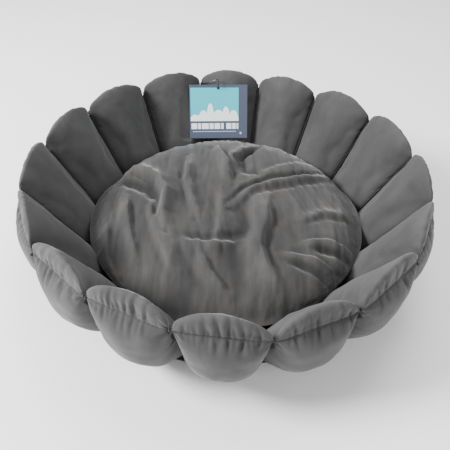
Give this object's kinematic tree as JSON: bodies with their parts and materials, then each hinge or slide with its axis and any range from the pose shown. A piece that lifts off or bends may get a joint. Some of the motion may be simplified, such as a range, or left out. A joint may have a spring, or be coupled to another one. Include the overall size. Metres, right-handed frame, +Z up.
{
  "type": "pet cushion bed",
  "caption": "Round pet bed with a flower-shaped ring of stuffed velvet petals leaning outwards round a loose slack cushion, with a hanging card tag.",
  "frame": {"origin": "middle of the underside, on the surface that the bed stands on", "axes": "+Z up; -Y towards the front; +X to the right seen from the front; the hang tag is at the back, at +Y"},
  "size_m": [0.587, 0.587, 0.17],
  "materials": {
    "velvet": "short-pile grey velvet",
    "cushion_velvet": "slack short-pile grey velvet with pile marks",
    "fibre_fill": "fluffy white polyester fibre",
    "underside": "dark grey woven cloth with rubber grip dots",
    "seam_allowance": "dark backing cloth",
    "printed_card": "satin printed card",
    "filament": "smooth black nylon filament"
  },
  "bodies": {
    "bed": {"petal_inner_01": "velvet", "petal_inner_02": "velvet", "petal_inner_03": "velvet", "petal_inner_04": "velvet", "petal_inner_05": "velvet", "petal_inner_06": "velvet", "petal_inner_07": "velvet", "petal_inner_08": "velvet", "petal_inner_09": "velvet", "petal_inner_10": "velvet", "petal_inner_11": "velvet", "petal_inner_12": "velvet", "petal_inner_13": "velvet", "petal_inner_14": "velvet", "petal_inner_15": "velvet", "petal_inner_16": "velvet", "petal_outer_01": "velvet", "petal_outer_02": "velvet", "petal_outer_03": "velvet", "petal_outer_04": "velvet", "petal_outer_05": "velvet", "petal_outer_06": "velvet", "petal_outer_07": "velvet", "petal_outer_08": "velvet", "petal_outer_09": "velvet", "petal_outer_10": "velvet", "petal_outer_11": "velvet", "petal_outer_12": "velvet", "petal_outer_13": "velvet", "petal_outer_14": "velvet", "petal_outer_15": "velvet", "petal_outer_16": "velvet", "petal_fill_01": "fibre_fill", "petal_fill_02": "fibre_fill", "petal_fill_03": "fibre_fill", "petal_fill_04": "fibre_fill", "petal_fill_05": "fibre_fill", "petal_fill_06": "fibre_fill", "petal_fill_07": "fibre_fill", "petal_fill_08": "fibre_fill", "petal_fill_09": "fibre_fill", "petal_fill_10": "fibre_fill", "petal_fill_11": "fibre_fill", "petal_fill_12": "fibre_fill", "petal_fill_13": "fibre_fill", "petal_fill_14": "fibre_fill", "petal_fill_15": "fibre_fill", "petal_fill_16": "fibre_fill", "channel_seams": "seam_allowance", "base_panel": "underside", "floor_pad": "fibre_fill", "floor_panel": "velvet", "tag_loop": "filament"},
    "cushion": {"cushion_top_panel": "cushion_velvet", "cushion_bottom_panel": "cushion_velvet", "cushion_fill": "fibre_fill"},
    "tag": {"tag_card": "printed_card"}
  },
  "joints": [
    {"name": "cushion_lift", "type": "slide", "parent": "bed", "child": "cushion", "axis": [0, 0, 1], "range_m": [0, 0.25]},
    {"name": "tag_swing", "type": "hinge", "parent": "bed", "child": "tag", "pos_m": [-0.02076, 0.24956, 0.15521], "axis": [-0.9981, -0.061, 0], "range_deg": [0, 165]}
  ]
}
